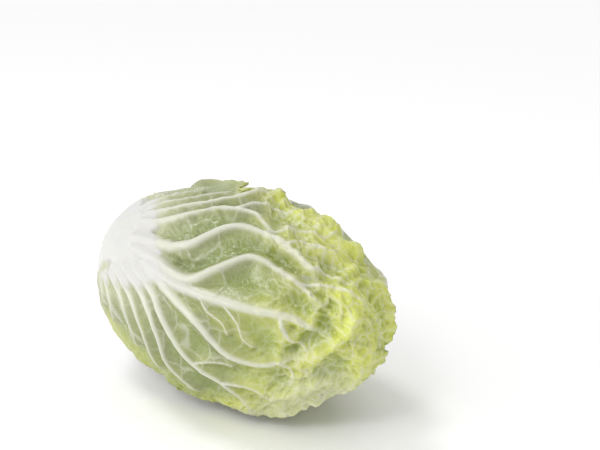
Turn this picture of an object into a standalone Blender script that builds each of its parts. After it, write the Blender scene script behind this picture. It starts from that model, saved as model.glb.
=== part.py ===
"""A napa cabbage head lying on its side, as separate leaves wrapped round a cut stem and a tight heart.

The head's long axis is +X, from the cut stem to the tip, and +Z is up. Every leaf lies on one ovoid.
A leaf's depth is how far it sits inside that ovoid: the outermost leaf has depth 0, and each further leaf
is laid below all the leaves outside it. Depth shrinks the ovoid towards its middle, so layers stay nested.
Lengths are in metres and angles in degrees.
"""

import math

import bmesh
import bpy
import numpy as np

# The ovoid: its widest radius, and its length to the stem end and to the tip end of that widest ring.
GIRTH_RADIUS = 0.074
STEM_HALF = 0.136
TIP_HALF = 0.1245
# How full each end is, along the head and round it: 2 is an ellipse, and less is more pointed.
STEM_FULLNESS = (1.53, 2.5)
TIP_FULLNESS = (1.69, 2.25)

# Broad swells and hollows of the head: angle from the stem, angle round, spread and height.
SWELLS = (
    (158.0, 205.0, 24.0, -0.0075),
    (172.0, 120.0, 20.0, 0.0035),
    (120.0, 20.0, 30.0, 0.0030),
)
# How far the head's weight presses its lowest leaf flat, and how much wider the layers above it are spaced.
FLAT_REST = 0.0024
REST_SPACING = 1.2

# The stem is a cone from its cut face towards the ovoid's middle, and the leaves start just outside it.
STEM_CUT = 0.131
STEM_RADIUS = 0.0214
STEM_TIP = 0.032
STEM_TIP_RADIUS = 0.0030
STEM_EDGE = 0.0012
STEM_SIDES = 28
HEART_SEGMENTS = 20
HEART_RINGS = 14

# Leaves, outermost first. Each next one inwards sits one golden angle back round the stem.
WRAPPER_LEAVES = 9
INNER_LEAVES = 10
FIRST_LEAF_TURN = 158.0
GOLDEN_ANGLE = 137.5
LEAF_START = 15.5
BASE_HALF_WIDTH = 56.0
WIDENING_POWER = 7
TIP_POWER = 4
EDGE_POWER = 5

# Thicknesses of the blade, of the petiole at its thickest, and of the air between two leaves.
BLADE = 0.0014
PETIOLE = 0.0060
INNER_PETIOLE = 0.0042
LAYER_GAP = 0.0018
# A leaf laid on a slope takes up more depth than its thickness.
SLOPE_ALLOWANCE = 1.15

# Depths are worked out on a fine layout grid, and each leaf's faces are a coarser grid that reads them.
LAYOUT_ACROSS = 37
LAYOUT_ALONG = 49
COVER_ANGLE = 3.0
COVER_CELLS = 3
SOFT_CELLS = 2
WRAPPER_CELLS = (11, 13)
INNER_CELLS = (9, 11)

GREEN = (0.52, 0.62, 0.22, 1.0)
PALE_GREEN = (0.72, 0.76, 0.42, 1.0)
WHITE = (0.86, 0.86, 0.80, 1.0)


def clear_scene():
    for obj in list(bpy.data.objects):
        bpy.data.objects.remove(obj)


def make_material(name, colour, roughness):
    made = bpy.data.materials.new(name)
    made.use_nodes = True
    shader = made.node_tree.nodes["Principled BSDF"]
    shader.inputs["Base Color"].default_value = colour
    shader.inputs["Roughness"].default_value = roughness
    shader.inputs["Metallic"].default_value = 0.0
    return made


def smooth_step(x):
    x = np.clip(x, 0, 1)
    return x * x * (3 - 2 * x)


def directions(a, b, turn):
    """Unit vectors for a leaf's own angles: a runs from the stem along the midrib and b across it.

    Near the stem, b turns about the head's axis. Near the tip, b swings away from the midrib's own plane,
    so a leaf can fold over the tip. The change between the two is spread over the middle of the head.
    """
    along = np.array([1.0, 0.0, 0.0])
    away = np.stack([np.zeros_like(turn), np.cos(turn), np.sin(turn)], -1)
    side = np.stack([np.zeros_like(turn), -np.sin(turn), np.cos(turn)], -1)
    cos_a, sin_a = np.cos(a)[..., None], np.sin(a)[..., None]
    cos_b, sin_b = np.cos(b)[..., None], np.sin(b)[..., None]
    ring = -cos_a * along + sin_a * (cos_b * away + sin_b * side)
    fold = cos_b * (-cos_a * along + sin_a * away) + sin_b * side
    share = smooth_step((a - math.radians(60)) / math.radians(60))[..., None]
    mixed = ring + share * (fold - ring)
    return mixed / np.linalg.norm(mixed, axis=-1, keepdims=True)


def swell(d):
    """How much further out than the plain ovoid the head is in directions d."""
    total = np.zeros(d.shape[:-1])
    for from_stem, turn, spread, height in np.radians(SWELLS):
        centre = directions(from_stem, np.array(0.0), turn)
        angle = np.arccos(np.clip(d @ centre, -1, 1))
        total += math.degrees(height) * np.exp(-((angle / spread) ** 2))
    return total


def on_head(d, depth):
    """Points on the ovoid in directions d, sunk by depth, and pressed flat where the head rests."""
    to_stem = d[..., 0] < 0
    from_axis = np.hypot(d[..., 1], d[..., 2])
    turn = np.arctan2(d[..., 2], d[..., 1])
    length = np.where(to_stem, -STEM_HALF, TIP_HALF)
    along_power = 2 / np.where(to_stem, STEM_FULLNESS[0], TIP_FULLNESS[0])
    round_power = 2 / np.where(to_stem, STEM_FULLNESS[1], TIP_FULLNESS[1])
    share = 1 + (swell(d) - depth) / GIRTH_RADIUS
    x = share * length * np.abs(d[..., 0]) ** along_power
    radius = share * GIRTH_RADIUS * from_axis**round_power
    lowest = FLAT_REST - GIRTH_RADIUS + REST_SPACING * np.maximum(depth, 0)
    z = np.maximum(radius * np.sin(turn), lowest)
    return np.stack([x, radius * np.cos(turn), z], -1)


def leaf_shape(number):
    """What sets one leaf apart: its place, its reach, its width, its twist, its tip and its loose edges."""
    shape = {
        "turn": FIRST_LEAF_TURN - number * GOLDEN_ANGLE,
        "twist": 9.0 * math.sin(2.4 * number),
        "reach": 176.0 + 6.0 * math.sin(1.7 * number),
        "width": 72.0 + 4.0 * math.cos(2.9 * number),
        "tip_round": 22.0,
        "tip_narrow": 0.40,
        "petiole": PETIOLE,
        "cells": WRAPPER_CELLS,
        "low_edge": 0.0030,
        "high_edge": 0.0040,
    }
    if number == 0:
        shape.update(twist=-30.0, reach=190.0, width=76.0, low_edge=0.0080, high_edge=0.0050)
        shape.update(tip_round=16.0, tip_narrow=0.22)
    if number >= WRAPPER_LEAVES:
        shape.update(low_edge=0.0, high_edge=0.0, petiole=INNER_PETIOLE, cells=INNER_CELLS)
        shape.update(reach=170.0 + 6.0 * math.sin(1.7 * number), width=68.0)
    return shape


def leaf_angles(shape, s, t):
    """The leaf's angles a and b and its turn, for s from -1 to 1 across it and t from 0 to 1 along it."""
    start, reach = math.radians(LEAF_START), math.radians(shape["reach"])
    base, width = math.radians(BASE_HALF_WIDTH), math.radians(shape["width"])
    a = start + (reach - start) * t - math.radians(shape["tip_round"]) * t**TIP_POWER * s**2
    half_width = base + (width - base) * (1 - (1 - t) ** WIDENING_POWER)
    half_width = half_width - shape["tip_narrow"] * width * t**TIP_POWER
    untwisting = math.radians(shape["twist"]) * (1 - smooth_step(t / 0.5))
    return a, s * half_width, math.radians(shape["turn"]) + untwisting


def thickness(shape, s, t):
    """Thick and broad at the petiole, thinning to the blade along the midrib and towards both sides."""
    half_width = 0.50 - 0.42 * smooth_step(t / 0.55)
    rib = np.exp(-((s / half_width) ** 4)) * (1 - 0.85 * smooth_step(t / 0.8))
    return BLADE + (shape["petiole"] - BLADE) * rib


def loose_edge(shape, s, t):
    """How far the leaf's sides and tip stand off the head where nothing covers them."""
    edge = np.where(s > 0, shape["low_edge"], shape["high_edge"])
    sides = np.abs(s) ** EDGE_POWER * smooth_step((t - 0.12) / 0.2) * (1 - 0.6 * t)
    return edge * (sides + 0.5 * t**8)


def spread_over(field, widen, soften):
    """Widens the high parts of a field by one cell a pass, and then softens it."""
    rows, columns = field.shape
    for _ in range(widen):
        padded = np.pad(field, 1, mode="edge")
        shifted = [padded[i : i + rows, j : j + columns] for i in range(3) for j in range(3)]
        field = np.max(shifted, axis=0)
    for _ in range(soften):
        padded = np.pad(field, 1, mode="edge")
        field = (padded[:-2] + 2 * padded[1:-1] + padded[2:]) / 4
        field = (field[:, :-2] + 2 * field[:, 1:-1] + field[:, 2:]) / 4
    return field


class Leaf:
    """One leaf laid under the leaves that are outside it."""

    def __init__(self, number, outside):
        self.shape = leaf_shape(number)
        along, across = np.linspace(0, 1, LAYOUT_ALONG), np.linspace(-1, 1, LAYOUT_ACROSS)
        t, s = np.meshgrid(along, across, indexing="ij")
        self.d = directions(*leaf_angles(self.shape, s, t))
        covered = np.zeros_like(s)
        for leaf in outside:
            covered = np.maximum(covered, leaf.inner_depth(self.d))
        covered = spread_over(covered, COVER_CELLS, SOFT_CELLS)
        free = np.clip(1 - covered / (BLADE / 2), 0, 1)
        laid = np.where(covered > 0, covered + LAYER_GAP * (1 - free), 0)
        self.depth = laid - loose_edge(self.shape, s, t) * free
        self.inner = np.maximum(self.depth, 0) + SLOPE_ALLOWANCE * thickness(self.shape, s, t)

    def inner_depth(self, d):
        """How deep this leaf's inner face is in directions d, and 0 where the leaf doesn't reach."""
        closeness = d.reshape(-1, 3) @ self.d.reshape(-1, 3).T
        nearest = closeness.argmax(axis=1)
        within = closeness.max(axis=1) > math.cos(math.radians(COVER_ANGLE))
        return np.where(within, self.inner.ravel()[nearest], 0).reshape(d.shape[:-1])

    def outer_points(self, s, t):
        """Points on the leaf's outer face, with their depth read from the layout."""
        across = (s + 1) / 2 * (LAYOUT_ACROSS - 1)
        along = t * (LAYOUT_ALONG - 1)
        j = np.minimum(across.astype(int), LAYOUT_ACROSS - 2)
        i = np.minimum(along.astype(int), LAYOUT_ALONG - 2)
        u, v = across - j, along - i
        near = (1 - u) * self.depth[i, j] + u * self.depth[i, j + 1]
        far = (1 - u) * self.depth[i + 1, j] + u * self.depth[i + 1, j + 1]
        return on_head(directions(*leaf_angles(self.shape, s, t)), (1 - v) * near + v * far)


def move_to(obj, finish, collection):
    """Gives an object its one material, and leaves it in its one collection."""
    obj.data.materials.clear()
    obj.data.materials.append(finish)
    for old in list(obj.users_collection):
        old.objects.unlink(obj)
    collection.objects.link(obj)


def build_leaf(leaf, name, finish, collection):
    """A flat grid bent onto the leaf's outer face, and given its thickness inwards by Solidify."""
    across, along = leaf.shape["cells"]
    bpy.ops.mesh.primitive_grid_add(x_subdivisions=across, y_subdivisions=along, size=2)
    obj = bpy.context.object
    obj.name = obj.data.name = name
    flat = np.array([vertex.co for vertex in obj.data.vertices])
    s, t = flat[:, 0], (flat[:, 1] + 1) / 2
    for vertex, point in zip(obj.data.vertices, leaf.outer_points(s, t)):
        vertex.co = point
    group = obj.vertex_groups.new(name="thickness")
    for vertex, amount in zip(obj.data.vertices, thickness(leaf.shape, s, t)):
        group.add([vertex.index], amount / PETIOLE, "REPLACE")
    shell = obj.modifiers.new("thickness", "SOLIDIFY")
    shell.thickness = PETIOLE
    shell.offset = -1.0
    shell.vertex_group = group.name
    obj.data.shade_smooth()
    move_to(obj, finish, collection)
    return obj


def build_stem(finish, collection):
    """The cut stem: a cone towards the middle of the head, turned about the head's axis."""
    outline = [(-STEM_CUT, 0.0), (-STEM_CUT, STEM_RADIUS - STEM_EDGE), (STEM_EDGE - STEM_CUT, STEM_RADIUS)]
    outline += [(-STEM_TIP - STEM_EDGE, STEM_TIP_RADIUS), (-STEM_TIP, STEM_TIP_RADIUS - STEM_EDGE)]
    outline += [(-STEM_TIP, 0.0)]
    mesh = bpy.data.meshes.new("stem")
    points = [(x, 0.0, radius) for x, radius in outline]
    mesh.from_pydata(points, [(i, i + 1) for i in range(len(points) - 1)], [])
    obj = bpy.data.objects.new("stem", mesh)
    turned = obj.modifiers.new("turned", "SCREW")
    turned.axis = "X"
    turned.steps = turned.render_steps = STEM_SIDES
    turned.use_merge_vertices = True
    turned.merge_threshold = 0.0001
    turned.use_normal_calculate = True
    move_to(obj, finish, collection)
    return obj


def build_heart(depth, finish, collection):
    """The tight heart of young leaves: the ovoid that is left inside all the other leaves."""
    bpy.ops.mesh.primitive_uv_sphere_add(segments=HEART_SEGMENTS, ring_count=HEART_RINGS, radius=1)
    obj = bpy.context.object
    obj.name = obj.data.name = "heart"
    sphere = np.array([vertex.co for vertex in obj.data.vertices])
    d = sphere[:, [2, 0, 1]]
    for vertex, point in zip(obj.data.vertices, on_head(d, np.full(len(d), depth))):
        vertex.co = point
    obj.data.shade_smooth()
    move_to(obj, finish, collection)
    return obj


def stand_on_floor(objects):
    """Moves every object by the same amount, so that the head stands on z = 0 with its box centred."""
    bpy.context.view_layer.update()
    graph = bpy.context.evaluated_depsgraph_get()
    shown = [obj.evaluated_get(graph) for obj in objects]
    corners = np.array([vertex.co for obj in shown for vertex in obj.data.vertices])
    low, high = corners.min(axis=0), corners.max(axis=0)
    for obj in objects:
        obj.location = (-(low[0] + high[0]) / 2, -(low[1] + high[1]) / 2, -low[2])


def main():
    clear_scene()
    collection = bpy.data.collections.new("napa_cabbage")
    bpy.context.scene.collection.children.link(collection)
    green = make_material("wrapper_leaf", GREEN, 0.45)
    pale = make_material("inner_leaf", PALE_GREEN, 0.5)
    white = make_material("stem", WHITE, 0.55)

    leaves = []
    for number in range(WRAPPER_LEAVES + INNER_LEAVES):
        leaves.append(Leaf(number, leaves))
    objects = [build_stem(white, collection)]
    for number, leaf in enumerate(leaves[:WRAPPER_LEAVES], start=1):
        objects.append(build_leaf(leaf, f"wrapper_leaf_{number:02d}", green, collection))
    for number, leaf in enumerate(leaves[WRAPPER_LEAVES:], start=1):
        objects.append(build_leaf(leaf, f"inner_leaf_{number:02d}", pale, collection))
    past_leaves = max(leaf.inner.max() for leaf in leaves)
    past_stem = GIRTH_RADIUS * (1 - STEM_TIP / STEM_HALF)
    objects.append(build_heart(max(past_leaves, past_stem) + LAYER_GAP, pale, collection))
    stand_on_floor(objects)


main()
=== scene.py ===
"""The looks of a napa cabbage head: finely veined, crinkled leaves laid where the solid leaves lie.

The head's long axis is +X, from the cut stem to the tip. Every leaf lies on one ovoid, and a leaf's depth is
how far inside it sits. Lengths are in metres and angles in degrees. The tables of points are given.
"""

import math

import bpy
import numpy as np
from mathutils import Matrix, Vector


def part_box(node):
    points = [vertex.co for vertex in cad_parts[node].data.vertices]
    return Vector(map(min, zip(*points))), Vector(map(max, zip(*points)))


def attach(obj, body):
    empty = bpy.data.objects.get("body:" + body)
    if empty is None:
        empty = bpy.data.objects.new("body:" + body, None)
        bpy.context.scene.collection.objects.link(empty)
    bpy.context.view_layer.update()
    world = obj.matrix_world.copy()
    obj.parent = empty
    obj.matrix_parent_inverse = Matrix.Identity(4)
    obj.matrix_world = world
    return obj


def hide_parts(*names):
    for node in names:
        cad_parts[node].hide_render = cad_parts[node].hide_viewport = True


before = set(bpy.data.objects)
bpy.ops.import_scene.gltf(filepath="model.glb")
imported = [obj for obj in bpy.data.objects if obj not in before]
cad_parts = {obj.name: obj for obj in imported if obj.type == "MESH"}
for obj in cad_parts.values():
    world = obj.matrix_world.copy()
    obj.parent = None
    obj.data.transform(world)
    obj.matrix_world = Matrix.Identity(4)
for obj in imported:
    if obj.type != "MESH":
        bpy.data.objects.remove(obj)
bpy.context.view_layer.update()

# ---- the head's shape, as the solids have it
# The ovoid: its widest radius, and its length to the stem end and to the tip end of that widest ring.
GIRTH_RADIUS = 0.074
STEM_HALF = 0.136
TIP_HALF = 0.1245
# How full each end is, along the head and round it: 2 is an ellipse, and less is more pointed.
STEM_FULLNESS = (1.53, 2.5)
TIP_FULLNESS = (1.69, 2.25)
# Broad swells and hollows: angle from the stem, angle round, spread and height.
SWELLS = (
    (158.0, 205.0, 24.0, -0.0075),
    (172.0, 120.0, 20.0, 0.0035),
    (120.0, 20.0, 30.0, 0.0030),
)
# How far the head's weight presses its lowest leaf flat, and how much wider the layers above it are spaced.
FLAT_REST = 0.0024
REST_SPACING = 1.2
# The stem is a cone from its cut face towards the ovoid's middle, with a small bevel round the cut.
STEM_CUT = 0.131
STEM_RADIUS = 0.0214
STEM_TIP = 0.032
STEM_TIP_RADIUS = 0.0030
STEM_EDGE = 0.0012
# Leaves, outermost first. Each next one inwards sits one golden angle back round the stem.
WRAPPER_LEAVES = 9
INNER_LEAVES = 10
FIRST_LEAF_TURN = 158.0
GOLDEN_ANGLE = 137.5
LEAF_START = 15.5
BASE_HALF_WIDTH = 56.0
WIDENING_POWER = 7
TIP_POWER = 4
EDGE_POWER = 5
# Thicknesses of the blade, of the petiole at its thickest, and of the air between two leaves.
BLADE = 0.0014
PETIOLE = 0.0060
INNER_PETIOLE = 0.0042
LAYER_GAP = 0.0018
# A leaf laid on a slope takes up more depth than its thickness.
SLOPE_ALLOWANCE = 1.15
# Depths are worked out on a layout grid. It looks for leaves outside within this angle, and is smoothed.
LAYOUT_ACROSS = 37
LAYOUT_ALONG = 49
COVER_ANGLE = 3.0
COVER_CELLS = 3
SOFT_CELLS = 2
# Room left under a leaf for the hollows between its veins: the first leaf's are the deepest.
FIRST_ROOM = 0.0036
OTHER_ROOM = 0.0012

# The middle of the widest ring, in the frame: the stem is turned about the head's axis.
stem_low, stem_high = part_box("stem")
RING_MIDDLE = np.array(
    [stem_low.x + STEM_CUT, (stem_low.y + stem_high.y) / 2, (stem_low.z + stem_high.z) / 2]
)
# The fine leaves stop this far above the floor.
FLOOR_CLEARANCE = 0.0001


def smooth_step(x):
    """0 below 0, 1 above 1, and a smooth climb between."""
    x = np.clip(x, 0, 1)
    return x * x * (3 - 2 * x)


def hump(distance, width):
    """1 at no distance, fading to nothing beyond the width."""
    return np.exp(-((distance / width) ** 2))


def directions(a, b, turn):
    """Unit vectors for a leaf's own angles: a runs from the stem along the midrib and b across it."""
    along = np.array([1.0, 0.0, 0.0])
    away = np.stack([np.zeros_like(turn), np.cos(turn), np.sin(turn)], -1)
    side = np.stack([np.zeros_like(turn), -np.sin(turn), np.cos(turn)], -1)
    cos_a, sin_a = np.cos(a)[..., None], np.sin(a)[..., None]
    cos_b, sin_b = np.cos(b)[..., None], np.sin(b)[..., None]
    ring = -cos_a * along + sin_a * (cos_b * away + sin_b * side)
    fold = cos_b * (-cos_a * along + sin_a * away) + sin_b * side
    share = smooth_step((a - math.radians(60)) / math.radians(60))[..., None]
    mixed = ring + share * (fold - ring)
    return mixed / np.linalg.norm(mixed, axis=-1, keepdims=True)


def swell(d):
    """Height of the broad swells and hollows in directions d."""
    total = np.zeros(d.shape[:-1])
    for from_stem, turn, spread, height in np.radians(SWELLS):
        centre = directions(from_stem, np.array(0.0), turn)
        angle = np.arccos(np.clip(d @ centre, -1, 1))
        total += math.degrees(height) * hump(angle, spread)
    return total


def on_head(d, depth):
    """Points on the ovoid in directions d, sunk by depth, and pressed flat where the head rests."""
    to_stem = d[..., 0] < 0
    from_axis = np.hypot(d[..., 1], d[..., 2])
    turn = np.arctan2(d[..., 2], d[..., 1])
    length = np.where(to_stem, -STEM_HALF, TIP_HALF)
    along_power = 2 / np.where(to_stem, STEM_FULLNESS[0], TIP_FULLNESS[0])
    round_power = 2 / np.where(to_stem, STEM_FULLNESS[1], TIP_FULLNESS[1])
    share = 1 + (swell(d) - depth) / GIRTH_RADIUS
    x = share * length * np.abs(d[..., 0]) ** along_power
    radius = share * GIRTH_RADIUS * from_axis**round_power
    lowest = FLAT_REST - GIRTH_RADIUS + REST_SPACING * np.maximum(depth, 0)
    z = np.maximum(radius * np.sin(turn), lowest)
    return np.stack([x, radius * np.cos(turn), z], -1)


def leaf_shape(number):
    """How one leaf differs from the next: its angles in degrees, and how far its two margins stand off."""
    shape = {
        "turn": FIRST_LEAF_TURN - number * GOLDEN_ANGLE,
        "twist": 9.0 * math.sin(2.4 * number),
        "reach": 176.0 + 6.0 * math.sin(1.7 * number),
        "width": 72.0 + 4.0 * math.cos(2.9 * number),
        "tip_round": 22.0,
        "tip_narrow": 0.40,
        "petiole": PETIOLE,
        "low_edge": 0.0030,
        "high_edge": 0.0040,
    }
    if number == 0:
        shape.update(twist=-30.0, reach=190.0, width=76.0, low_edge=0.0080, high_edge=0.0050)
        shape.update(tip_round=16.0, tip_narrow=0.22)
    if number >= WRAPPER_LEAVES:
        shape.update(low_edge=0.0, high_edge=0.0, petiole=INNER_PETIOLE)
        shape.update(reach=170.0 + 6.0 * math.sin(1.7 * number), width=68.0)
    return shape


def leaf_angles(shape, s, t):
    """A leaf's own angles at shares of its half width, s from -1 to 1, and its length, t from 0 to 1."""
    start, reach = math.radians(LEAF_START), math.radians(shape["reach"])
    base, width = math.radians(BASE_HALF_WIDTH), math.radians(shape["width"])
    a = start + (reach - start) * t - math.radians(shape["tip_round"]) * t**TIP_POWER * s**2
    half_width = base + (width - base) * (1 - (1 - t) ** WIDENING_POWER)
    half_width = half_width - shape["tip_narrow"] * width * t**TIP_POWER
    untwisting = math.radians(shape["twist"]) * (1 - smooth_step(t / 0.5))
    return a, s * half_width, math.radians(shape["turn"]) + untwisting


def thickness(shape, s, t):
    """Thickness of the solid leaf, which is fullest along the petiole near the stem."""
    half_width = 0.50 - 0.42 * smooth_step(t / 0.55)
    rib = np.exp(-((s / half_width) ** 4)) * (1 - 0.85 * smooth_step(t / 0.8))
    return BLADE + (shape["petiole"] - BLADE) * rib


def loose_edge(shape, s, t):
    """How far the margins and the tip stand off where nothing lies over them."""
    edge = np.where(s > 0, shape["low_edge"], shape["high_edge"])
    sides = np.abs(s) ** EDGE_POWER * smooth_step((t - 0.06) / 0.26) * (1 - 0.6 * t)
    return edge * (sides + 0.5 * t**8)


def soften(field, passes):
    """Averages each point with its neighbours."""
    for _ in range(passes):
        padded = np.pad(field, 1, mode="edge")
        field = (padded[:-2] + 2 * padded[1:-1] + padded[2:]) / 4
        field = (field[:, :-2] + 2 * field[:, 1:-1] + field[:, 2:]) / 4
    return field


def widen(field, passes):
    """Takes the highest of each point and its neighbours."""
    rows, columns = field.shape
    for _ in range(passes):
        padded = np.pad(field, 1, mode="edge")
        shifted = [padded[i : i + rows, j : j + columns] for i in range(3) for j in range(3)]
        field = np.max(shifted, axis=0)
    return field


class Leaf:
    """One leaf laid under the leaves that are outside it."""

    def __init__(self, number, outside):
        self.number = number
        self.shape = leaf_shape(number)
        along, across = np.linspace(0, 1, LAYOUT_ALONG), np.linspace(-1, 1, LAYOUT_ACROSS)
        t, s = np.meshgrid(along, across, indexing="ij")
        self.d = directions(*leaf_angles(self.shape, s, t))
        covered = np.zeros_like(s)
        for leaf in outside:
            covered = np.maximum(covered, leaf.inner_depth(self.d))
        covered = soften(widen(covered, COVER_CELLS), SOFT_CELLS)
        self.free = np.clip(1 - covered / (BLADE / 2), 0, 1)
        self.laid = np.where(covered > 0, covered + LAYER_GAP * (1 - self.free), 0)
        self.depth = self.laid - loose_edge(self.shape, s, t) * self.free
        self.open = 1 - widen(1 - self.free, 1)
        room = FIRST_ROOM if number == 0 else OTHER_ROOM
        room = room * smooth_step((t - 0.15) / 0.2)
        self.inner = np.maximum(self.depth, 0) + SLOPE_ALLOWANCE * thickness(self.shape, s, t) + room

    def inner_depth(self, d):
        """Depth that the next leaf must clear in directions d, or 0 beyond this leaf."""
        closeness = d.reshape(-1, 3) @ self.d.reshape(-1, 3).T
        nearest = closeness.argmax(axis=1)
        within = closeness.max(axis=1) > math.cos(math.radians(COVER_ANGLE))
        return np.where(within, self.inner.ravel()[nearest], 0).reshape(d.shape[:-1])

    def read(self, field, s, t):
        """Reads one of the layout's fields between its points."""
        across = (np.clip(s, -1, 1) + 1) / 2 * (LAYOUT_ACROSS - 1)
        along = np.clip(t, 0, 1) * (LAYOUT_ALONG - 1)
        j = np.minimum(across.astype(int), LAYOUT_ACROSS - 2)
        i = np.minimum(along.astype(int), LAYOUT_ALONG - 2)
        u, v = smooth_step(across - j), smooth_step(along - i)
        near = (1 - u) * field[i, j] + u * field[i, j + 1]
        far = (1 - u) * field[i + 1, j] + u * field[i + 1, j + 1]
        return (1 - v) * near + v * far


# ---- repeatable noise
# Large whole numbers that scatter neighbouring cells' numbers, and how many levels come out.
CELL_PRIMES = (73856093, 19349663, 83492791)
SEED_PRIME = 374761393
SCATTER = (1274126177, 668265263)
LOW_32_BITS = 0xFFFFFFFF
LOW_16_BITS = 0xFFFF
LEVELS = 65521
NOISE_GAIN = 1.6


def hashed(cell, seed):
    """A repeatable random number from 0 to 1 for each whole-number cell."""
    key = cell.astype(np.int64)
    mixed = key[..., 0] * CELL_PRIMES[0] ^ key[..., 1] * CELL_PRIMES[1] ^ key[..., 2] * CELL_PRIMES[2]
    mixed = mixed ^ seed * SEED_PRIME
    mixed = ((mixed ^ (mixed >> 13)) * SCATTER[0]) & LOW_32_BITS
    mixed = ((mixed ^ (mixed >> 15)) * SCATTER[1]) & LOW_32_BITS
    return (mixed ^ ((mixed >> 16) & LOW_16_BITS)) % LEVELS / LEVELS


def noise(points, size, seed):
    """Smooth noise, about -1 to 1, whose bumps are about size apart."""
    scaled = points / size
    cell = np.floor(scaled)
    part = scaled - cell
    fade = part**3 * (part * (part * 6 - 15) + 10)
    total = np.zeros(points.shape[:-1])
    for corner in np.ndindex(2, 2, 2):
        where = cell + corner
        weight = np.prod(np.where(corner, fade, 1 - fade), axis=-1)
        slope = np.stack([hashed(where, seed + 7 * k) * 2 - 1 for k in range(3)], -1)
        total += weight * np.sum(slope * (part - corner), axis=-1)
    return total * NOISE_GAIN


def rough_noise(points, size, seed, octaves=3):
    """Smooth noise with finer and fainter noise added to it."""
    total = np.zeros(points.shape[:-1])
    for k in range(octaves):
        total += noise(points, size / 2**k, seed + 31 * k) / 2**k
    return total


def cell_pattern(points, size, seed):
    """Distance to the nearest border between irregular cells, and a random number for each cell."""
    scaled = points / size
    cell = np.floor(scaled)
    first, second = np.full((2, *points.shape[:-1]), 9.0)
    first_at, second_at = np.zeros((2, *points.shape))
    tone = np.zeros_like(first)
    for step in np.ndindex(3, 3, 3):
        where = cell + np.array(step) - 1
        seat = where + np.stack([hashed(where, seed + 5 * k) for k in range(3)], -1)
        gap = np.linalg.norm(scaled - seat, axis=-1)
        closer = gap < first
        nearly = ~closer & (gap < second)
        second = np.where(closer, first, np.where(nearly, gap, second))
        second_at = np.where(closer[..., None], first_at, np.where(nearly[..., None], seat, second_at))
        first = np.where(closer, gap, first)
        first_at = np.where(closer[..., None], seat, first_at)
        tone = np.where(closer, hashed(where, seed + 99), tone)
    apart = np.maximum(np.linalg.norm(second_at - first_at, axis=-1), 0.05)
    return size * (second**2 - first**2) / (2 * apart), tone


# ---- veins
def spline(points, steps):
    """A smooth curve through the points."""
    points = np.array(points, float)
    padded = np.vstack([2 * points[0] - points[1], points, 2 * points[-1] - points[-2]])
    u = np.linspace(0, len(points) - 1 - 1e-9, steps)
    k = u.astype(int)
    u = (u - k)[:, None]
    p0, p1, p2, p3 = padded[k], padded[k + 1], padded[k + 2], padded[k + 3]
    straight = 2 * p1 + (p2 - p0) * u
    bend = (2 * p0 - 5 * p1 + 4 * p2 - p3) * u**2
    return 0.5 * (straight + bend + (3 * p1 - p0 - 3 * p2 + p3) * u**3)


def distance_to(points, path):
    """Distance from each point to a path, and how far along the path the nearest place is."""
    start, run = path[:-1], path[1:] - path[:-1]
    length2 = np.maximum(np.sum(run**2, axis=1), 1e-12)
    best = np.full(len(points), 1e9)
    along = np.zeros(len(points))
    for k in range(len(run)):
        share = np.clip((points - start[k]) @ run[k] / length2[k], 0, 1)
        gap = np.linalg.norm(points - start[k] - share[:, None] * run[k], axis=1)
        closer = gap < best
        best = np.where(closer, gap, best)
        along = np.where(closer, (k + share) / len(run), along)
    return best, along


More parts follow.
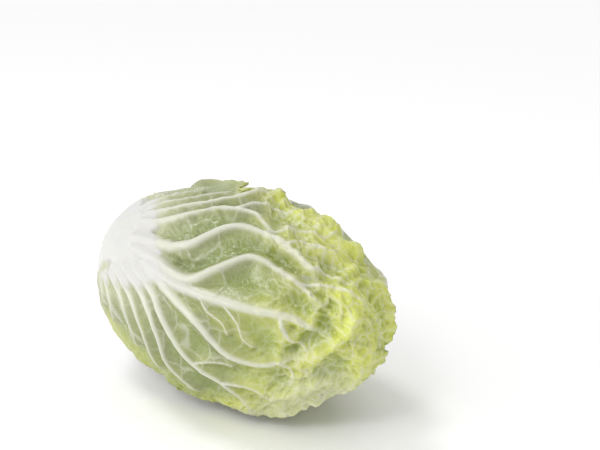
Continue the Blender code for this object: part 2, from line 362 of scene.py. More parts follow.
# The outermost leaf's veins: control points (angle from the stem, angle across), then the width at the root
# and at the end, and the height at the root.
FIRST_LEAF_VEINS = (
    ([(52, -42), (58, -47), (66, -55), (74, -64)], 0.0014, 0.0006, 0.0012),
    ([(56, -38), (62, -42), (70, -48), (80, -58), (95, -68)], 0.0016, 0.0006, 0.0015),
    ([(59, -32), (70, -38), (82, -48), (96, -59), (125, -70), (150, -72)], 0.0025, 0.0010, 0.0022),
    ([(60, -25), (72, -29), (79, -35), (88, -43), (100, -49), (113, -51), (122, -50), (132, -44), (146, -46)],
     0.0038, 0.0012, 0.0034),
    ([(62, -15), (80, -16), (90, -18), (98, -22), (103, -29), (109, -36), (117, -40), (127, -40), (136, -37),
      (144, -31), (149, -27), (156, -28), (166, -25), (180, -25)], 0.0046, 0.0013, 0.0046),
    ([(66, -9), (80, -8), (90, -6), (100, -4), (106, -6), (112, -13), (118, -20), (124, -25), (130, -25),
      (138, -22), (146, -18), (153, -13), (160, -8)], 0.0047, 0.0013, 0.0048),
    ([(74, -4), (98, 0), (115, 0), (130, -1), (143, -3), (152, -1), (162, 2)], 0.0045, 0.0018, 0.0036),
    ([(140, -2), (143, 4), (148, 8), (159, 12)], 0.0018, 0.0010, 0.0018),
    ([(78, -1), (92, 3), (103, 9), (112, 15), (120, 22), (128, 26), (138, 26), (148, 21), (160, 11)],
     0.0041, 0.0016, 0.0034),
    ([(146, 22), (153, 24), (160, 31)], 0.0013, 0.0009, 0.0014),
    ([(70, 0), (85, 9), (94, 19), (101, 29), (108, 37), (117, 42), (128, 45), (140, 51), (158, 58),
      (176, 62)], 0.0038, 0.0014, 0.0034),
    ([(62, 2), (76, 11), (83, 20), (88, 32), (89, 43), (95, 54), (106, 62), (122, 68)],
     0.0038, 0.0012, 0.0034),
    ([(57, 6), (68, 16), (73, 26), (76, 38), (77, 50), (80, 62)], 0.0032, 0.0010, 0.0027),
    ([(52, 11), (61, 20), (65, 30), (67, 42), (68, 54)], 0.0026, 0.0009, 0.0022),
    ([(47, 16), (53, 26), (55, 36), (55, 46)], 0.0020, 0.0008, 0.0018),
    ([(42, 20), (46, 30), (47, 40)], 0.0016, 0.0007, 0.0014),
    ([(127, -40), (138, -45), (150, -47), (162, -46), (176, -50)], 0.0018, 0.0009, 0.0030),
    ([(106, -50), (118, -57), (132, -60), (146, -60), (158, -64)], 0.0017, 0.0009, 0.0026),
    ([(138, -36), (146, -40), (158, -38), (170, -38)], 0.0015, 0.0008, 0.0024),
    ([(144, -19), (152, -21), (163, -20), (176, -14)], 0.0015, 0.0008, 0.0022),
    ([(98, -60), (108, -66), (120, -68), (134, -70)], 0.0013, 0.0008, 0.0018),
    ([(120, 2), (126, 8), (130, 15), (137, 18)], 0.0008, 0.0005, 0.0008),
    ([(110, 1), (114, 7), (121, 11), (125, 18)], 0.0007, 0.0005, 0.0006),
    ([(112, 39), (122, 33), (132, 31)], 0.0010, 0.0006, 0.0010),
    ([(128, 45), (140, 42), (152, 44), (164, 47)], 0.0013, 0.0008, 0.0016),
    ([(103, -5), (104, 1)], 0.0007, 0.0006, 0.0007),
)
# The petiole's half width at the leaf's base, as a share of the leaf's, and where it has narrowed away.
PETIOLE_BASE = 0.90
PETIOLE_END = 0.395


def petiole_edge(t):
    """Half width of the white petiole, as a share of the leaf's half width."""
    return PETIOLE_BASE * np.clip(1 - t / PETIOLE_END, 0, 1) ** 0.9


def leaf_line(shape, s, t):
    """Points on the plain ovoid along a line given in the leaf's own shares."""
    return on_head(directions(*leaf_angles(shape, s, t)), np.zeros_like(s))


def side_veins(shape, count, seed):
    """The main veins of a leaf: a midrib, and arcs that leave the petiole and bend towards the tip."""
    random = np.random.default_rng(seed)
    steps = np.linspace(0, 1, 22)
    midrib = leaf_line(shape, 0.02 * np.sin(9 * steps), 0.36 + 0.60 * steps)
    veins = [(midrib, 0.0036, 0.0012, 0.0028)]
    for side in (-1, 1):
        for k in range(count):
            share = (k + 0.5 + random.uniform(-0.2, 0.2)) / count
            begin = 0.06 + 0.33 * share
            reach = 0.10 + 0.52 * share**1.3 + random.uniform(-0.02, 0.02)
            out = 0.97 - 0.25 * share**3
            root = petiole_edge(begin) * 0.9
            s = root + (out - root) * steps ** (0.85 + 0.5 * share)
            s = s + 0.03 * np.sin(steps * random.uniform(6, 11)) * steps
            t = begin + reach * steps ** (1.25 - 0.25 * share)
            width = 0.0014 + 0.0018 * math.sin(math.pi * (0.15 + 0.75 * share))
            veins.append((leaf_line(shape, side * s, t), width, 0.0009, width))
    return veins


def fine_veins(shape, seed):
    """Thin, nearly parallel veins between the main ones, from the petiole's sides to the leaf's margins."""
    random = np.random.default_rng(seed)
    steps = np.linspace(0, 1, 12)
    veins = []
    for side in (-1, 1):
        for begin in np.arange(0.01, 0.25, 0.0085):
            begin = begin + random.uniform(-0.004, 0.004)
            root = petiole_edge(begin) * 0.97
            out = root + (1.0 - root) * random.uniform(0.55, 1.0)
            s = root + (out - root) * steps
            t = begin + (0.035 + 0.16 * begin) * steps + 0.005 * np.sin(5 * steps + begin * 60)
            veins.append((leaf_line(shape, side * s, t), 0.0009, 0.0005, 0.0008))
    return veins


def vein_fields(points, veins):
    """Height, whiteness and distance to the nearest of the veins, at each point."""
    height = np.zeros(len(points))
    white = np.zeros(len(points))
    nearest = np.full(len(points), 0.1)
    for path, root, end, tall in veins:
        gap, along = distance_to(points, path)
        width = root + (end - root) * along
        fading = 1 - smooth_step((along - 0.85) / 0.15)
        height = np.maximum(height, tall * (width / root) * fading * hump(gap, width))
        core = 1 - smooth_step((gap / width - 0.40) / 0.90)
        white = np.maximum(white, fading * (1 - 0.25 * along) * core)
        nearest = np.minimum(nearest, np.maximum(gap - width, 0) + 0.01 * (1 - fading))
    return height, white, nearest


# ---- the leaves' fine surface
# Cells across and along each leaf's outer face: the outermost leaf, four partly seen, and the hidden ones.
SEEN_LEAVES = 5
HIDDEN_LEAVES = WRAPPER_LEAVES + INNER_LEAVES - SEEN_LEAVES
LEAF_CELLS = [(198, 330)] + (SEEN_LEAVES - 1) * [(150, 240)] + HIDDEN_LEAVES * [(60, 90)]
# The inner face has one cell for every three of the outer face's, each way.
RIM_STEP = 3
# Folds of the outermost leaf that aren't veins: control points as for veins, half width and height.
FIRST_LEAF_FOLDS = (
    ([(170, -14), (167, -2), (162, 10), (157, 21)], 0.0042, 0.0072),
    ([(158, -13), (156, 0), (152, 10), (149, 17)], 0.0040, -0.0062),
    ([(118, -29), (128, -33), (138, -30), (148, -22), (157, -13)], 0.0040, -0.0042),
    ([(80, -13), (91, -10), (102, -11), (110, -18), (118, -27)], 0.0036, -0.0042),
    ([(76, -23), (88, -24), (98, -31), (106, -40), (116, -45)], 0.0036, -0.0040),
    ([(78, -38), (88, -46), (98, -54), (108, -57)], 0.0030, -0.0026),
    ([(150, -48), (158, -38), (168, -34), (178, -36)], 0.0050, 0.0036),
    ([(140, -60), (150, -52), (160, -50)], 0.0045, -0.0030),
    ([(166, 26), (172, 14), (176, 2)], 0.0050, -0.0034),
    ([(160, 44), (168, 34), (174, 22)], 0.0050, 0.0034),
)
# Where the outermost leaf stands away from the head: angles as for veins, radius and height.
FIRST_LEAF_LIFTS = (
    (61.0, -72.0, 0.010, 0.0075),
    (176.0, 4.0, 0.016, 0.0030),
    (50.0, 44.0, 0.024, 0.0030),
    (34.0, 38.0, 0.013, 0.0022),
    (130.0, -73.0, 0.017, 0.0045),
    (166.0, -56.0, 0.017, 0.0035),
)
# How many degrees nearer the stem the fine leaves begin than the solid ones, and the share drawn out.
BASE_REACH = 2.6
BASE_SHARE = 0.045
# Main veins on each side of the midrib, on the leaves behind the first.
SIDE_VEINS = 7
# Passes that smooth a leaf's layout: where it is free, and how deep it lies.
FREE_PASSES = 4
DEPTH_PASSES = 5

# How far the petiole runs out along the veins, and the blade cuts in between, as shares of the half width.
FINGER_LENGTH = 0.19
FINGER_CUT = 0.11
FINGER_UNEVENNESS = 0.03
FINGER_WIDTH = 0.0030
# Where the puckered part begins and how soon it is full, as shares of a leaf's length.
FIRST_SAVOY = 0.58
FIRST_SAVOY_SLANT = 0.07
OTHER_SAVOY = 0.54
SAVOY_SPREAD = 0.24

# Sizes of the cells between the finest veins, their bend and stretch, and their borders' half widths.
LADDER_CELL = 0.0200
WIDE_CELL = 0.0088
FINE_CELL = 0.0042
CELL_BEND = 0.0036
CELL_STRETCH = np.array([0.66, 1.0, 1.0])
LADDER_LINE = 0.00050
WIDE_LINE = 0.00042
FINE_LINE = 0.00030

# Heights and depths of the leaves' relief, in metres.
PLAIN_LIFT = 0.0009
VEIN_HOLLOW = 0.0016
FIRST_PANEL_HOLLOW = 0.0040
OTHER_PANEL_HOLLOW = 0.0020
WIDE_BLISTER = 0.0019
FINE_BLISTER = 0.0011
LADDER_BLISTER = 0.0003
LUMP = 0.0056
CREASE = 0.0048
FIRST_CRUMPLE = 0.0058
OTHER_CRUMPLE = 0.0028
RUFFLE = 0.0020
WAVE = 0.0007
WRINKLE = 0.0018
STRIPE = 0.00045
FINE_STRIPE = 0.00022
DEEPEST = 0.0064
# The share of relief left where other leaves press on a leaf.
PRESSED_RELIEF = 0.12
# Thickness of the fine blade, and its share of the solid petiole's extra thickness.
FINE_BLADE = 0.0006
PETIOLE_KEPT = 0.75
INNER_FACE_CLEARANCE = 0.0004
# The depth of hollow that is coloured with the full painted shade.
FULL_SHADE_DEPTH = 0.0046

# Where each pattern's random numbers begin: a leaf adds its own number.
SEEDS = {
    "ladder": 4, "wide_cells": 5, "fine_cells": 6, "bend": 11, "main_veins": 20, "fine_veins": 60,
    "lumps": 70, "creases": 80, "ruffle": 90, "fine_ruffle": 95, "waves": 100, "wrinkles": 110,
    "patches": 120, "fingers": 130, "stripes": 140, "fine_stripes": 141, "lobes": 400,
}


def normals(grid):
    across = np.gradient(grid, axis=1)
    along = np.gradient(grid, axis=0)
    crossed = np.cross(across, along)
    return crossed / np.maximum(np.linalg.norm(crossed, axis=-1, keepdims=True), 1e-12)


def frilled(number, s, t, points):
    """Moves the margins in and out, so that they are lobed and toothed."""
    seed = SEEDS["lobes"] + number
    lobes = rough_noise(points, 0.018, seed, 2) + 0.5 * rough_noise(points, 0.0050, seed + 50, 2)
    to_side = np.abs(s) ** 10 * (1 - t**8)
    to_tip = t**12
    flap = np.zeros_like(s)
    if number == 0:
        # One low lobe stands out past the first leaf's upper margin, and a wide notch follows it.
        lobes += 0.5 * smooth_step(s) * rough_noise(points, 0.0042, seed + 60, 2)
        flap = 0.05 * hump(t - 0.27, 0.06) - 0.13 * hump(t - 0.46, 0.075)
        flap = flap * smooth_step(-4 * s) * np.abs(s) ** 6
    new_s = s * (1 + flap + 0.036 * lobes * to_side * smooth_step(t / 0.1))
    new_t = t * (1 + 0.014 * lobes * to_tip)
    return new_s, new_t


def first_leaf_place(a, b):
    turn = np.full_like(a, math.radians(FIRST_LEAF_TURN))
    return on_head(directions(np.radians(a), np.radians(b), turn), np.zeros_like(a))


def first_leaf_veins():
    veins = []
    for control, root, end, tall in FIRST_LEAF_VEINS:
        a, b = spline(control, 6 * len(control)).T
        veins.append((first_leaf_place(a, b), root, end, tall))
    return veins


def first_leaf_folds(points):
    """Height of the outermost leaf's own folds, flaps and hollows."""
    total = np.zeros(len(points))
    for control, width, tall in FIRST_LEAF_FOLDS:
        a, b = spline(control, 16).T
        gap, along = distance_to(points, first_leaf_place(a, b))
        total += tall * np.sin(np.pi * np.clip(along, 0.06, 0.94)) ** 0.7 * hump(gap, width)
    for a, b, radius, tall in FIRST_LEAF_LIFTS:
        gap = np.linalg.norm(points - first_leaf_place(np.array(a), np.array(b)), axis=1)
        total += tall * hump(gap, radius)
    return total


class Skin:
    """One leaf's fine surface: s runs across the leaf from -1 to 1, and t from its base to its tip."""

    def __init__(self, leaf):
        cells = LEAF_CELLS[leaf.number]
        self.leaf = leaf
        self.number = leaf.number
        self.first = leaf.number == 0
        along, across = np.linspace(0, 1, cells[1] + 1), np.linspace(-1, 1, cells[0] + 1)
        self.t, self.s = np.meshgrid(along, across, indexing="ij")
        self.plain = leaf_line(leaf.shape, self.s, self.t)
        self.free = soften(leaf.read(leaf.open, self.s, self.t), FREE_PASSES)
        self.at_base = 1 - smooth_step(self.t / BASE_SHARE)
        self.base = self.lay_base()
        self.trace_veins()
        self.spread_petiole()
        self.spread_savoy()
        self.draw_cells()
        self.sunk = self.hollows()
        self.blistered = self.blisters()
        self.crumpled = self.crumples()

    def seed(self, pattern):
        return SEEDS[pattern] + self.number

    def lay_base(self):
        """The leaf's smooth form, with its margins frilled and its base closed round the stem."""
        s_out, t_out = frilled(self.number, self.s, self.t, self.plain)
        depth = soften(self.leaf.read(self.leaf.laid, self.s, self.t), DEPTH_PASSES)
        depth = depth - loose_edge(self.leaf.shape, self.s, self.t) * self.free
        a, b, turn = leaf_angles(self.leaf.shape, s_out, t_out)
        if self.number < WRAPPER_LEAVES:
            a = a - math.radians(BASE_REACH) * self.at_base
        return on_head(directions(a, b, turn), depth)

    def traced(self, veins):
        fields = vein_fields(self.plain.reshape(-1, 3), veins)
        return [field.reshape(self.s.shape) for field in fields]

    def trace_veins(self):
        """Height and whiteness of the main and thin veins, the way to the nearest main one, and the folds."""
        if self.first:
            veins = first_leaf_veins()
            self.folds = first_leaf_folds(self.plain.reshape(-1, 3)).reshape(self.s.shape)
        else:
            veins = side_veins(self.leaf.shape, SIDE_VEINS, self.seed("main_veins"))
            self.folds = np.zeros_like(self.s)
        seen = self.number < SEEN_LEAVES
        thin = fine_veins(self.leaf.shape, self.seed("fine_veins")) if seen else []
        self.height, self.white, self.nearest = self.traced(veins)
        self.thin_height, self.thin_white, _ = self.traced(thin)

    def spread_petiole(self):
        """Share of white petiole, with fingers along the veins, and where the blade may sink."""
        s, t = self.s, self.t
        fingers = FINGER_LENGTH * hump(self.nearest, FINGER_WIDTH) - FINGER_CUT
        fingers = fingers + FINGER_UNEVENNESS * noise(self.plain, 0.006, self.seed("fingers"))
        if self.first:
            # The first leaf's petiole is narrower on its upper side, and wider at its lower base.
            fingers -= 0.06 * smooth_step(-4 * s)
            fingers += 0.34 * smooth_step(4 * s) * (1 - smooth_step((t - 0.07) / 0.09))
        past_end = 0.6 * np.clip(t - PETIOLE_END, 0, 1)
        inside = petiole_edge(t) - past_end - np.abs(s) + fingers
        self.petiole = smooth_step(inside / 0.12 + 0.5)
        self.blade = 1 - self.petiole
        self.sinking = 1 - smooth_step((inside - 0.03) / 0.08 + 0.5)

    def spread_savoy(self):
        """Share of margin, and of the puckered part, which is fullest towards the tip."""
        s, t = self.s, self.t
        margin = np.maximum(smooth_step((np.abs(s) - 0.72) / 0.28), smooth_step((t - 0.80) / 0.20))
        self.margin = margin * smooth_step((t - 0.05) / 0.15)
        begins = FIRST_SAVOY + FIRST_SAVOY_SLANT * s if self.first else OTHER_SAVOY
        at_margin = 0.30 * self.margin * smooth_step((t - 0.35) / 0.25)
        savoy = np.clip(smooth_step((t - begins) / SAVOY_SPREAD) + at_margin, 0, 1)
        self.savoy = savoy * self.blade

    def draw_cells(self):
        """The net of finest veins, and the distances to the borders of the cells between them."""
        bend_seed = self.seed("bend")
        bends = [rough_noise(self.plain, 0.014, bend_seed + k, 2) for k in range(3)]
        bent = CELL_BEND * np.stack(bends, -1)
        ladder_points = self.plain + 0.5 * bent
        net_points = (self.plain + bent) * CELL_STRETCH
        self.ladder_gap, self.tone = cell_pattern(ladder_points, LADDER_CELL, self.seed("ladder"))
        self.wide_gap, _ = cell_pattern(net_points, WIDE_CELL, self.seed("wide_cells"))
        self.fine_gap, _ = cell_pattern(net_points, FINE_CELL, self.seed("fine_cells"))
        self.ladder = hump(self.ladder_gap, LADDER_LINE)
        self.net = hump(self.wide_gap, WIDE_LINE) * (0.10 + 0.90 * self.savoy)
        self.fine_net = hump(self.fine_gap, FINE_LINE) * (0.12 + 0.88 * self.savoy)

    def hollows(self):
        """How far the blade sinks: a step beside each vein, and a dip across each panel."""
        panel_hollow = FIRST_PANEL_HOLLOW if self.first else OTHER_PANEL_HOLLOW
        between = 1 - hump(self.nearest, 0.0032)
        panel = 1 - hump(self.nearest, 0.0100)
        near_petiole = 1 - smooth_step((self.t - 0.38) / 0.12)
        beside_veins = VEIN_HOLLOW * (1 + 0.8 * near_petiole) * between
        sunk = self.sinking * (beside_veins + panel_hollow * panel * (1 - 0.6 * self.savoy))
        return sunk * (1 - 0.8 * self.margin) * smooth_step((self.t - 0.12) / 0.10)

    def blisters(self):
        """How far the veins of the net lie below the blisters between them."""
        sunk = self.savoy * WIDE_BLISTER * (1 - hump(self.wide_gap, 0.0030))
        sunk += (0.05 + 0.95 * self.savoy) * FINE_BLISTER * (1 - hump(self.fine_gap, 0.0013))
        past_petiole = smooth_step((self.t - 0.3) / 0.1)
        sunk += LADDER_BLISTER * (1 - self.savoy) * (1 - hump(self.ladder_gap, 0.0016)) * past_petiole
        return sunk

    def crumples(self):
        """The crumpled lumps and creases of the puckered part."""
        most = FIRST_CRUMPLE if self.first else OTHER_CRUMPLE
        creases = 0.35 - np.abs(noise(self.plain, 0.015, self.seed("creases")))
        crumple = LUMP * rough_noise(self.plain, 0.026, self.seed("lumps"), 2) + CREASE * creases
        crumple = self.savoy * most * np.tanh(crumple / most)
        if self.first:
            crumple = crumple * (1 - 0.5 * smooth_step((self.s - 0.35) / 0.4))
        return crumple

    def ruffles(self):
        broad = noise(self.plain, 0.014, self.seed("ruffle"))
        small = noise(self.plain, 0.006, self.seed("fine_ruffle"))
        return self.margin * RUFFLE * (0.3 + broad + 0.5 * small)

    def wrinkles(self):
        """Fine wrinkles in the upper troughs beside the petiole, off the veins."""
        place = (1 - smooth_step((self.t - 0.44) / 0.15)) * (1 - smooth_step((np.abs(self.s) - 0.60) / 0.2))
        place = place * (1 - 0.75 * smooth_step(5 * self.s)) * (1 - self.white)
        lengthened = self.plain * np.array([0.55, 1.0, 1.0])
        return place * self.sinking * WRINKLE * noise(lengthened, 0.0030, self.seed("wrinkles"))

    def stripes(self):
        """Faint fluting along the petiole."""
        broad = STRIPE * noise(self.plain * np.array([0.20, 1.0, 1.0]), 0.0085, self.seed("stripes"))
        fine = FINE_STRIPE * noise(self.plain * np.array([0.12, 1.0, 1.0]), 0.0030, self.seed("fine_stripes"))
        return self.petiole * (broad + fine)

    def relief(self):
        """Height of the outer face over the leaf's smooth form."""
        ridges = np.maximum(self.height, self.thin_height * self.blade)
        waves = WAVE * noise(self.plain, 0.020, self.seed("waves")) * self.blade
        relief = PLAIN_LIFT + ridges - self.sunk - self.blade * self.blistered
        relief = relief + self.crumpled + self.ruffles() + waves + self.wrinkles()
        relief = relief + self.stripes() + self.folds
        return np.maximum(relief, -DEEPEST) * (PRESSED_RELIEF + (1 - PRESSED_RELIEF) * self.free)

    def faces(self):
        """Points of the outer face, and of the coarser inner face, none of them below the floor."""
        floor = FLOOR_CLEARANCE - RING_MIDDLE[2]
        relief = self.relief()
        outward = normals(self.base)
        outer = self.base + relief[..., None] * outward
        outer[..., 2] = np.maximum(outer[..., 2], floor)
        extra = thickness(self.leaf.shape, self.s, self.t) - BLADE
        thick = (FINE_BLADE + PETIOLE_KEPT * extra) * (1 - 0.8 * self.at_base)
        under = self.base + (-widen(-relief, 2) - thick)[..., None] * outward
        inner = under[::RIM_STEP, ::RIM_STEP]
        inner[..., 2] = np.maximum(inner[..., 2], floor + INNER_FACE_CLEARANCE)
        return outer, inner

    def fields(self):
        """What the leaf's material needs to know at each outer point."""
        s, t = self.s, self.t
        patches = rough_noise(self.plain, 0.03, self.seed("patches"))
        yellow = 0.95 * smooth_step((t - 0.53) / 0.36) + 0.45 * self.margin + 0.16 * patches
        raised = 0.60 * self.crumpled + 0.75 * self.folds
        # Painted shade: the deeper a hollow sinks, the darker and greener it is coloured; raised crumples and
        # folds get none.
        trough_shade = (self.sunk + self.blade * self.blistered - raised) / FULL_SHADE_DEPTH
        rib = np.maximum(self.petiole, 0.92 * self.white)
        from_petiole = np.maximum(np.abs(s) - petiole_edge(t), 0)
        pale = np.exp(-from_petiole / 0.30) * (1 - smooth_step((t - 0.24) / 0.38))
        if self.first:
            # The first leaf is also paler at the lower side of its tip.
            pale = np.maximum(pale, 0.90 * smooth_step((t - 0.74) / 0.2) * smooth_step((s - 0.1) / 0.4))
        ladder = 0.60 * self.ladder * (1 - self.savoy) * smooth_step((t - 0.3) / 0.1)
        thin = 0.95 * self.thin_white * (1 - self.savoy)
        net = np.maximum(ladder, 0.85 * self.net)
        net = np.maximum(net, np.maximum(0.45 * self.fine_net, thin))
        return {
            "rib": np.clip(rib, 0, 1),
            "net": np.clip(net, 0, 1) * (1 - rib),
            "yellow": np.clip(yellow, 0, 1),
            "trough_shade": np.clip(trough_shade, 0, 1) * (1 - rib),
            "petiole": self.petiole,
            "pale": pale * self.blade,
            "tone": self.tone,
        }


def quads(grid, flip=False):
    """Faces between neighbouring points of a grid of point numbers."""
    corners = [grid[:-1, :-1], grid[:-1, 1:], grid[1:, 1:], grid[1:, :-1]]
    if flip:
        corners.reverse()
    return np.stack(corners, -1).reshape(-1, 4).tolist()


def border(grid):
    return np.concatenate([grid[0, :-1], grid[:-1, -1], grid[-1, :0:-1], grid[:0:-1, 0]])


def rim_faces(fine, coarse):
    """Faces that join three edges of the outer face's border to each edge of the inner face's."""
    faces = []
    for k, first in enumerate(coarse):
        second = coarse[(k + 1) % len(coarse)]
        edge = [fine[(RIM_STEP * k + n) % len(fine)] for n in range(RIM_STEP + 1)]
        faces.append([edge[1], edge[0], first])
        faces.append([edge[2], edge[1], first, second])
        faces.append([edge[3], edge[2], second])
    return faces


def chart(rows, columns, u_from, u_to):
    """Surface coordinates for a grid of points, in one upright strip of the unit square."""
    u, v = np.meshgrid(np.linspace(u_from, u_to, columns), np.linspace(0.01, 0.99, rows))
    return np.stack([u, v], -1).reshape(-1, 2)


def new_mesh(name, points, faces, fields):
    """A smooth mesh around the ovoid's middle, with each field's number at every point."""
    mesh = bpy.data.meshes.new(name)
    mesh.from_pydata((points + RING_MIDDLE).tolist(), [], faces)
    for field, values in fields.items():
        mesh.attributes.new(field, "FLOAT", "POINT").data.foreach_set("value", values.astype(np.float32))
    mesh.shade_smooth()
    return mesh


def build_mesh(name, outer, inner, fields):
    """One closed mesh: a fine outer face, a coarser inner face, and a rim that joins them."""
    rows, columns = outer.shape[:2]
    inner_rows, inner_columns = inner.shape[:2]
    index = np.arange(outer.size // 3).reshape(rows, columns)
    inner_index = index.size + np.arange(inner.size // 3).reshape(inner_rows, inner_columns)
    faces = quads(index) + quads(inner_index, flip=True) + rim_faces(border(index), border(inner_index))
    points = np.vstack([outer.reshape(-1, 3), inner.reshape(-1, 3)])
    for field, values in fields.items():
        fields[field] = np.concatenate([values.ravel(), values[::RIM_STEP, ::RIM_STEP].ravel()])
    mesh = new_mesh(name, points, faces, fields)
    charts = np.vstack([chart(rows, columns, 0.01, 0.74), chart(inner_rows, inner_columns, 0.76, 0.99)])
    corner = np.zeros(len(mesh.loops), np.int32)
    mesh.loops.foreach_get("vertex_index", corner)
    mesh.uv_layers.new(name="OFBake").data.foreach_set("uv", charts[corner].astype(np.float32).ravel())
    return mesh


# ---- materials
SAGE = (0.226, 0.244, 0.102)
YELLOW_GREEN = (0.570, 0.610, 0.088)
# A darker green painted into the hollows as shade.
TROUGH_SHADE_GREEN = (0.165, 0.240, 0.030)
PALE_GREEN = (0.620, 0.630, 0.455)
VEIN_WHITE = (0.610, 0.612, 0.525)
PETIOLE_WHITE = (0.580, 0.577, 0.552)
CUT_TAN = (0.52, 0.42, 0.25)
FLOOR_WHITE = (0.96, 0.96, 0.96)
# Features for each metre: broad patches, wet spots, the finest web and the grain.
PATCH_SCALE = 55.0
WETNESS_SCALE = 140.0
WEB_SCALE = 290.0
GRAIN_SCALE = 900.0
# How strongly each part tints the blade; the hollows' share is painted shade, darker and greener.
PATCH_TINT = 0.22
TONE_TINT = 0.12
TROUGH_SHADE_TINT = 0.54
PALE_TINT = 0.62
WEB_TINT = 0.09
NET_TINT = 0.68
# How much yellower the inner leaves are.
INNER_YELLOW = 0.45


class Nodes:
    """A short way to write shader nodes."""

    def __init__(self, name):
        self.material = bpy.data.materials.new(name)
        self.material.use_nodes = True
        self.tree = self.material.node_tree
        self.shader = self.tree.nodes["Principled BSDF"]

    def add(self, kind, sockets=(), **values):
        """A node whose sockets, by name or number, are linked or set to constants."""
        node = self.tree.nodes.new(kind)
        for key, value in values.items():
            setattr(node, key, value)
        for key, value in dict(sockets).items():
            self.put(node.inputs[key], value)
        return node

    def put(self, socket, value):
        """Links a socket to another, or sets its constant: a tuple of three is a colour."""
        if isinstance(value, bpy.types.NodeSocket):
            self.tree.links.new(value, socket)
        elif isinstance(value, tuple):
            socket.default_value = (*value, 1.0)
        else:
            socket.default_value = value

    def give(self, name, value):
        self.put(self.shader.inputs[name], value)

    def place(self):
        return self.add("ShaderNodeTexCoord").outputs["Object"]

    def field(self, name):
        return self.add("ShaderNodeAttribute", attribute_name=name).outputs["Fac"]

    def mix(self, share, first, second):
        node = self.add("ShaderNodeMix", data_type="RGBA")
        sockets = [s for s in node.inputs if s.enabled]
        for socket, value in zip(sockets, (share, first, second)):
            self.put(socket, value)
        return next(s for s in node.outputs if s.enabled)

    def math(self, operation, first, second):
        return self.add("ShaderNodeMath", {0: first, 1: second}, operation=operation).outputs[0]

    def clamp(self, value):
        return self.add("ShaderNodeClamp", {"Value": value}).outputs["Result"]

    def ramp(self, value, low, high, full=1.0):
        sockets = {"Value": value, "From Max": full, "To Min": low, "To Max": high}
        return self.add("ShaderNodeMapRange", sockets).outputs["Result"]

    def noise(self, scale, detail=3.0, roughness=0.5, output="Fac"):
        sockets = {"Vector": self.place(), "Scale": scale, "Detail": detail, "Roughness": roughness}
        return self.add("ShaderNodeTexNoise", sockets).outputs[output]

    def web(self, scale, bend=0.9, line=0.11):
        """A web of thin lines between irregular cells, with the bend and the line as shares of a cell."""
        sockets = {0: self.noise(scale / 2, 2.0, output="Color"), "Scale": bend / scale}
        amount = self.add("ShaderNodeVectorMath", sockets, operation="SCALE").outputs["Vector"]
        bent = self.add("ShaderNodeVectorMath", {0: self.place(), 1: amount}, operation="ADD")
        sockets = {"Vector": bent.outputs["Vector"], "Scale": scale}
        cells = self.add("ShaderNodeTexVoronoi", sockets, feature="DISTANCE_TO_EDGE")
        return self.ramp(cells.outputs["Distance"], 1.0, 0.0, line)

    def bump(self, height, strength, distance):
        sockets = {"Strength": strength, "Distance": distance, "Height": height}
        self.give("Normal", self.add("ShaderNodeBump", sockets).outputs["Normal"])

    def glow_through(self, weight, radius, scale):
        """Light that spreads under the surface, further in some colours."""
        self.give("Subsurface Weight", weight)
        self.shader.inputs["Subsurface Radius"].default_value = radius
        self.give("Subsurface Scale", scale)


def leaf_material(name, yellower):
    """Green blade, yellower to its tip and margins, with pale veins, a white petiole and painted shade in its
    hollows.
    """
    n = Nodes(name)
    patches = n.ramp(n.noise(PATCH_SCALE, 4.0), -PATCH_TINT, PATCH_TINT)
    yellow = n.math("ADD", n.field("yellow"), patches)
    yellow = n.math("ADD", yellow, n.math("MULTIPLY", n.math("SUBTRACT", n.field("tone"), 0.5), TONE_TINT))
    yellow = n.clamp(n.math("ADD", yellow, yellower))
    blade = n.mix(yellow, SAGE, YELLOW_GREEN)
    # Painted shade: hollows are mixed towards the darker green by their depth.
    blade = n.mix(n.math("MULTIPLY", n.field("trough_shade"), TROUGH_SHADE_TINT), blade, TROUGH_SHADE_GREEN)
    blade = n.mix(n.math("MULTIPLY", n.field("pale"), PALE_TINT), blade, PALE_GREEN)
    web = n.web(WEB_SCALE)
    blade = n.mix(n.math("MULTIPLY", web, WEB_TINT), blade, PALE_GREEN)
    blade = n.mix(n.math("MULTIPLY", n.field("net"), NET_TINT), blade, VEIN_WHITE)
    white = n.mix(n.field("petiole"), VEIN_WHITE, PETIOLE_WHITE)
    n.give("Base Color", n.mix(n.field("rib"), blade, white))
    # The troughs are wetter, so they shine more.
    wetness = n.math("MULTIPLY", n.field("trough_shade"), -0.20)
    n.give("Roughness", n.math("ADD", n.ramp(n.noise(WETNESS_SCALE), 0.26, 0.46), wetness))
    grain = n.math("MULTIPLY", n.noise(GRAIN_SCALE, 3.0, 0.6), 0.5)
    on_blade = n.math("MULTIPLY", web, n.math("SUBTRACT", 1.0, n.field("rib")))
    n.bump(n.math("ADD", grain, n.math("MULTIPLY", on_blade, 0.4)), 0.40, 0.0005)
    n.give("IOR", 1.48)
    n.give("Coat Weight", 0.14)
    n.give("Coat Roughness", 0.20)
    n.glow_through(0.15, (0.9, 1.0, 0.35), 0.0025)
    return n.material


def stem_material():
    """A moist cut face, browner at its rim, over a white core."""
    n = Nodes("cut_stem")
    stain = n.clamp(n.math("MULTIPLY", n.field("stain"), n.ramp(n.noise(160.0, 5.0, 0.65), 0.2, 1.3)))
    n.give("Base Color", n.mix(stain, PETIOLE_WHITE, CUT_TAN))
    n.give("Roughness", n.ramp(n.noise(300.0), 0.35, 0.6))
    n.bump(n.noise(700.0, 4.0, 0.6), 0.4, 0.0006)
    n.glow_through(0.2, (1.0, 0.9, 0.6), 0.003)
    return n.material


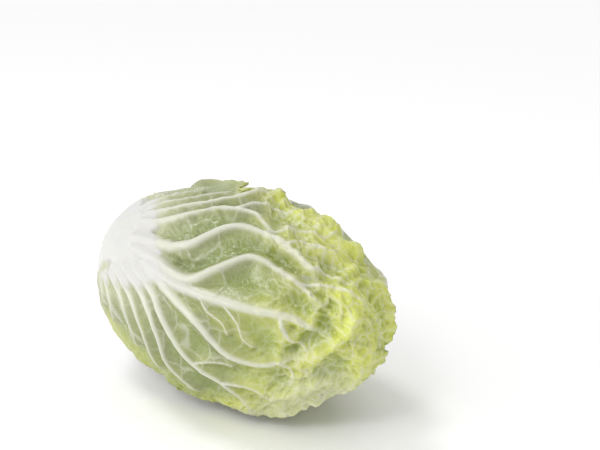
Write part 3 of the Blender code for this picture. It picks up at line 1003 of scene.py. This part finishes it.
def heart_material():
    """Pale, patchy yellow green of the youngest leaves."""
    n = Nodes("young_leaf")
    n.give("Base Color", n.mix(n.noise(70.0, 5.0), YELLOW_GREEN, VEIN_WHITE))
    n.give("Roughness", n.ramp(n.noise(200.0), 0.4, 0.6))
    n.bump(n.noise(400.0, 4.0), 0.4, 0.001)
    return n.material


def floor_material():
    n = Nodes("floor")
    n.give("Base Color", FLOOR_WHITE)
    n.give("Roughness", 0.55)
    return n.material


# ---- pieces
# The fine stem: points round it, rings over and behind its cut face, the swelling that fills the gap to the
# leaves, and the cut face's unevenness.
STEM_SIDES = 96
CUT_RINGS = 26
CORE_RINGS = 20
STEM_SWELLING = 0.0022
CUT_HOLLOW = 0.0005
CUT_UNEVENNESS = 0.0005


def add_object(name, data):
    thing = bpy.data.objects.new(name, data)
    bpy.context.scene.collection.objects.link(thing)
    return thing


def add_piece(mesh, material, node):
    """A piece named after its mesh, which takes the place of a solid node."""
    piece = add_object(mesh.name, mesh)
    mesh.materials.append(material)
    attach(piece, "root")
    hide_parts(node)


def build_leaves():
    """All the leaves: each is laid under those before it, and then gets its fine surface."""
    leaves = []
    for number in range(WRAPPER_LEAVES + INNER_LEAVES):
        leaves.append(Leaf(number, leaves))
    finishes = {
        "wrapper_leaf": leaf_material("wrapper_leaf", 0.0),
        "inner_leaf": leaf_material("inner_leaf", INNER_YELLOW),
    }
    for leaf in leaves:
        kind, place = "wrapper_leaf", leaf.number + 1
        if place > WRAPPER_LEAVES:
            kind, place = "inner_leaf", place - WRAPPER_LEAVES
        node = f"{kind}_{place:02d}"
        skin = Skin(leaf)
        outer, inner = skin.faces()
        mesh = build_mesh(f"crinkled_{node}", outer, inner, skin.fields())
        add_piece(mesh, finishes[kind], node)


def stem_rings():
    """The rings' places along the head and radii, from the middle of the cut face to the hidden point."""
    rings = [(-STEM_CUT, r) for r in np.linspace(0.0008, STEM_RADIUS - STEM_EDGE, CUT_RINGS)]
    rings.append((-STEM_CUT + STEM_EDGE * 0.3, STEM_RADIUS - STEM_EDGE * 0.3))
    rings.append((-STEM_CUT + STEM_EDGE, STEM_RADIUS))
    for share in np.linspace(0.08, 1, CORE_RINGS):
        x = -STEM_CUT + STEM_EDGE + (-STEM_TIP + STEM_CUT - STEM_EDGE) * share
        radius = STEM_RADIUS + (STEM_TIP_RADIUS - STEM_RADIUS) * share
        rings.append((x, radius + STEM_SWELLING * math.sin(math.pi * share)))
    return np.array(rings).T


def build_stem():
    """The cut stem, with a slightly uneven face."""
    x, radius = stem_rings()
    turn = np.linspace(0, 2 * math.pi, STEM_SIDES, endpoint=False)
    ring_x = np.repeat(x[:, None], STEM_SIDES, 1)
    points = np.stack([ring_x, np.outer(radius, np.cos(turn)), np.outer(radius, np.sin(turn))], -1)
    on_cut = (x < -STEM_CUT + STEM_EDGE / 2).astype(float)[:, None]
    bumps = rough_noise(points, 0.009, 700)
    points[..., 0] += on_cut * (CUT_HOLLOW + CUT_UNEVENNESS * bumps)
    rim = smooth_step((radius / STEM_RADIUS - 0.72) / 0.28)[:, None]
    stain = on_cut * (0.25 + 0.75 * rim) + 0.15 * (1 - on_cut)
    stain = np.broadcast_to(stain, points.shape[:2])
    index = np.arange(points.shape[0] * STEM_SIDES).reshape(-1, STEM_SIDES)
    ahead = np.roll(index, -1, axis=1)
    faces = np.stack([index[:-1], index[1:], ahead[1:], ahead[:-1]], -1).reshape(-1, 4).tolist()
    faces.append(index[0].tolist())
    faces.append(index[-1, ::-1].tolist())
    mesh = new_mesh("cut_stem", points.reshape(-1, 3), faces, {"stain": stain.ravel()})
    add_piece(mesh, stem_material(), "stem")


def dress_heart():
    """The hidden heart keeps its solid shape, and takes its own colour."""
    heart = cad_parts["heart"]
    heart.data.materials.clear()
    heart.data.materials.append(heart_material())


# ---- stage and camera
FLOOR_SIZE = 80
SKY_STRENGTH = 0.80
SUN_ENERGY = 0.70
SUN_ANGLE = 16.0
TOWARDS_SUN = Vector((-0.50, -0.10, 1.0))
CAMERA_ROUND = 47.4
CAMERA_UP = 18.0
CAMERA_DISTANCE = 1.0
LENS_MM = 85.0
SENSOR_MM = 36.0
# How far the camera's middle lies to the right of the head's and above it.
CAMERA_RIGHTWARDS = 0.0440
CAMERA_UPWARDS = 0.0469


def add_lamp(name, kind, energy, towards_light):
    light = bpy.data.lights.new(name, kind)
    light.energy = energy
    lamp = add_object(name, light)
    lamp.rotation_euler = towards_light.to_track_quat("Z", "Y").to_euler()
    return lamp


def add_disk_light(name, energy, size, place, aim_height):
    """A round soft light that points at a height above the middle of the floor under the head."""
    lamp = add_lamp(name, "AREA", energy, Vector(place) - Vector((0, 0, aim_height)))
    lamp.location = place
    lamp.data.shape = "DISK"
    lamp.data.size = size


def build_stage():
    bpy.ops.mesh.primitive_plane_add(size=FLOOR_SIZE)
    floor = bpy.context.object
    floor.name = "floor"
    floor.data.materials.append(floor_material())
    world = bpy.data.worlds.new("studio")
    bpy.context.scene.world = world
    world.use_nodes = True
    sky = world.node_tree.nodes["Background"]
    sky.inputs["Color"].default_value = (1.0, 1.0, 1.0, 1.0)
    sky.inputs["Strength"].default_value = SKY_STRENGTH
    sun = add_lamp("key", "SUN", SUN_ENERGY, TOWARDS_SUN)
    sun.data.angle = math.radians(SUN_ANGLE)
    add_disk_light("fill", 4.0, 0.45, (0.45, -1.0, 1.15), 0.05)
    add_disk_light("low_fill", 6.0, 0.8, (-0.45, -1.25, 0.45), 0.02)


def build_camera():
    """Looks down on the head from its tip's side, with the head a little left of and below the middle."""
    azimuth, elevation = math.radians(CAMERA_ROUND), math.radians(CAMERA_UP)
    level = math.cos(elevation)
    back = Vector((math.sin(azimuth) * level, -math.cos(azimuth) * level, math.sin(elevation)))
    right = Vector((math.cos(azimuth), math.sin(azimuth), 0))
    up = back.cross(right)
    data = bpy.data.cameras.new("camera")
    data.lens = LENS_MM
    data.sensor_width = SENSOR_MM
    head_middle = Vector(RING_MIDDLE) + Vector(((TIP_HALF - STEM_HALF) / 2, 0, 0))
    place = head_middle + back * CAMERA_DISTANCE + right * CAMERA_RIGHTWARDS + up * CAMERA_UPWARDS
    camera = add_object("camera", data)
    facing = Matrix((right, up, back)).transposed().to_4x4()
    camera.matrix_world = Matrix.Translation(place) @ facing
    bpy.context.scene.camera = camera


build_camera()
build_leaves()
build_stem()
dress_heart()
build_stage()
bpy.context.scene.view_settings.view_transform = "Standard"
